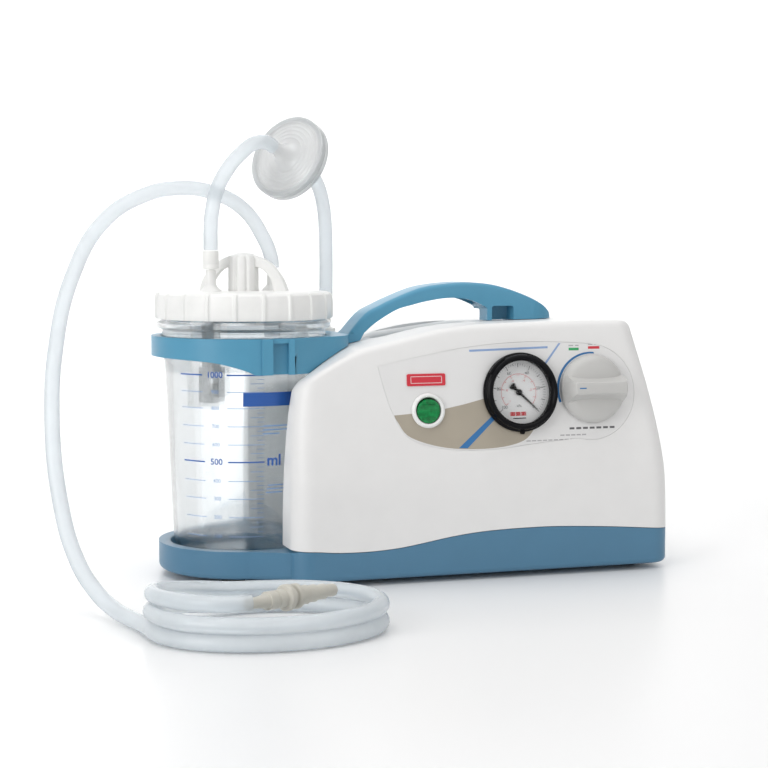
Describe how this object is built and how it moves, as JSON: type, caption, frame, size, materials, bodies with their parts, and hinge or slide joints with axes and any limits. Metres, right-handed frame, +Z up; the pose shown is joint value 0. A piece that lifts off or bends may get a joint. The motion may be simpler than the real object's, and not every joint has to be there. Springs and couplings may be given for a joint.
{
  "type": "suction pump",
  "caption": "Portable medical suction pump: leaning white cabinet on a blue tray, clear collection jar in a ring, carry handle, vacuum gauge, filter and coiled tubing.",
  "frame": {"origin": "centre of the object's box at the surface it stands on, measured without the free tubing", "axes": "+X to the cabinet's right as seen from the front, +Y to the back, +Z up"},
  "size_m": [0.4305, 0.3376, 0.316],
  "materials": {
    "shell_white": "fine satin moulded plastic",
    "tray_blue": "satin moulded plastic",
    "handle_blue": "satin moulded plastic",
    "foot_rubber": "moulded rubber",
    "screw_steel": "plated steel",
    "overlay_print": "printed front overlay",
    "label_red": "gloss printed label",
    "gauge_black": "gloss black plastic",
    "gauge_clear": "clear window",
    "dial_white": "printed dial",
    "knob_white": "satin moulded plastic",
    "valve_brass": "machined brass",
    "switch_white": "gloss plastic",
    "switch_green": "translucent green plastic",
    "socket_black": "black plastic",
    "cast_alloy": "cast and machined alloy",
    "motor_steel": "laminated and turned steel",
    "piston_grey": "grey technical plastic",
    "silicone": "translucent soft tubing",
    "barb_white": "moulded plastic",
    "jar_clear": "clear polycarbonate",
    "lid_white": "satin moulded plastic",
    "filter_clear": "translucent moulded plastic",
    "connector_beige": "moulded plastic"
  },
  "bodies": {
    "housing": {"base_tray": "tray_blue", "upper_shell": "shell_white", "jar_ring": "handle_blue", "carry_handle": "handle_blue", "rubber_foot_1": "foot_rubber", "rubber_foot_2": "foot_rubber", "rubber_foot_3": "foot_rubber", "rubber_foot_4": "foot_rubber", "case_screw_1": "screw_steel", "case_screw_2": "screw_steel", "case_screw_3": "screw_steel", "case_screw_4": "screw_steel", "front_overlay": "overlay_print", "label_plate": "label_red", "gauge_case": "gauge_black", "gauge_lens": "gauge_clear", "gauge_dial": "dial_white", "regulator_valve": "valve_brass", "switch_body": "switch_white", "mains_socket": "socket_black", "socket_pin_1": "screw_steel", "socket_pin_2": "screw_steel", "socket_pin_3": "screw_steel", "pump_plate": "cast_alloy", "vibration_mount_1": "foot_rubber", "vibration_mount_2": "foot_rubber", "vibration_mount_3": "foot_rubber", "vibration_mount_4": "foot_rubber", "motor_stator": "motor_steel", "motor_bracket_1": "motor_steel", "motor_bracket_2": "motor_steel", "crankcase": "cast_alloy", "pump_cylinder": "cast_alloy", "cylinder_head": "cast_alloy", "internal_hose": "silicone", "inlet_barb": "barb_white"},
    "knob": {"regulator_knob": "knob_white", "regulator_spindle": "valve_brass"},
    "pointer": {"gauge_pointer": "gauge_black"},
    "switch_rocker_body": {"switch_rocker": "switch_green"},
    "rotor": {"motor_shaft": "motor_steel", "motor_rotor": "motor_steel", "cooling_fan": "socket_black", "crank": "motor_steel"},
    "piston": {"piston_rod": "cast_alloy", "piston_cup": "piston_grey"},
    "fuse_holder": {"fuse_drawer": "socket_black"},
    "collection_jar": {"jar": "jar_clear"},
    "lid": {"jar_lid": "lid_white", "lid_gasket": "silicone", "float_cage": "piston_grey", "port_sleeve": "barb_white", "tube_lid_to_filter": "silicone", "filter_housing": "filter_clear", "tube_filter_to_pump": "silicone", "patient_tube": "silicone", "patient_coil": "silicone", "patient_tail": "silicone", "patient_connector": "connector_beige"},
    "float_valve": {"float": "lid_white"}
  },
  "joints": [
    {"name": "jar_lift", "type": "slide", "parent": "housing", "child": "collection_jar", "axis": [0, 0, 1], "range_m": [0, 0.2]},
    {"name": "lid_lift", "type": "slide", "parent": "collection_jar", "child": "lid", "axis": [0, 0, 1], "range_m": [0, 0.09]},
    {"name": "float_rise", "type": "slide", "parent": "lid", "child": "float_valve", "axis": [0, 0, 1], "range_m": [0, 0.009]},
    {"name": "regulator_turn", "type": "hinge", "parent": "housing", "child": "knob", "pos_m": [0.1153, -0.0713, 0.127], "axis": [0, -0.9932, 0.1167], "range_deg": [-135, 135]},
    {"name": "gauge_reading", "type": "hinge", "parent": "housing", "child": "pointer", "pos_m": [0.0625, -0.07142, 0.126], "axis": [0, -0.9932, 0.1167], "range_deg": [0, 266]},
    {"name": "switch_press", "type": "hinge", "parent": "housing", "child": "switch_rocker_body", "pos_m": [-0.0038, -0.07166, 0.11538], "axis": [1, 0, 0], "range_deg": [-20, 0]},
    {"name": "motor_spin", "type": "hinge", "parent": "housing", "child": "rotor", "pos_m": [0, 0.025, 0.06], "axis": [1, 0, 0], "continuous": true},
    {"name": "piston_stroke", "type": "slide", "parent": "housing", "child": "piston", "axis": [0, 0, 1], "range_m": [-0.003, 0.003]},
    {"name": "fuse_pull", "type": "slide", "parent": "housing", "child": "fuse_holder", "axis": [0, 1, 0], "range_m": [0, 0.015]}
  ]
}
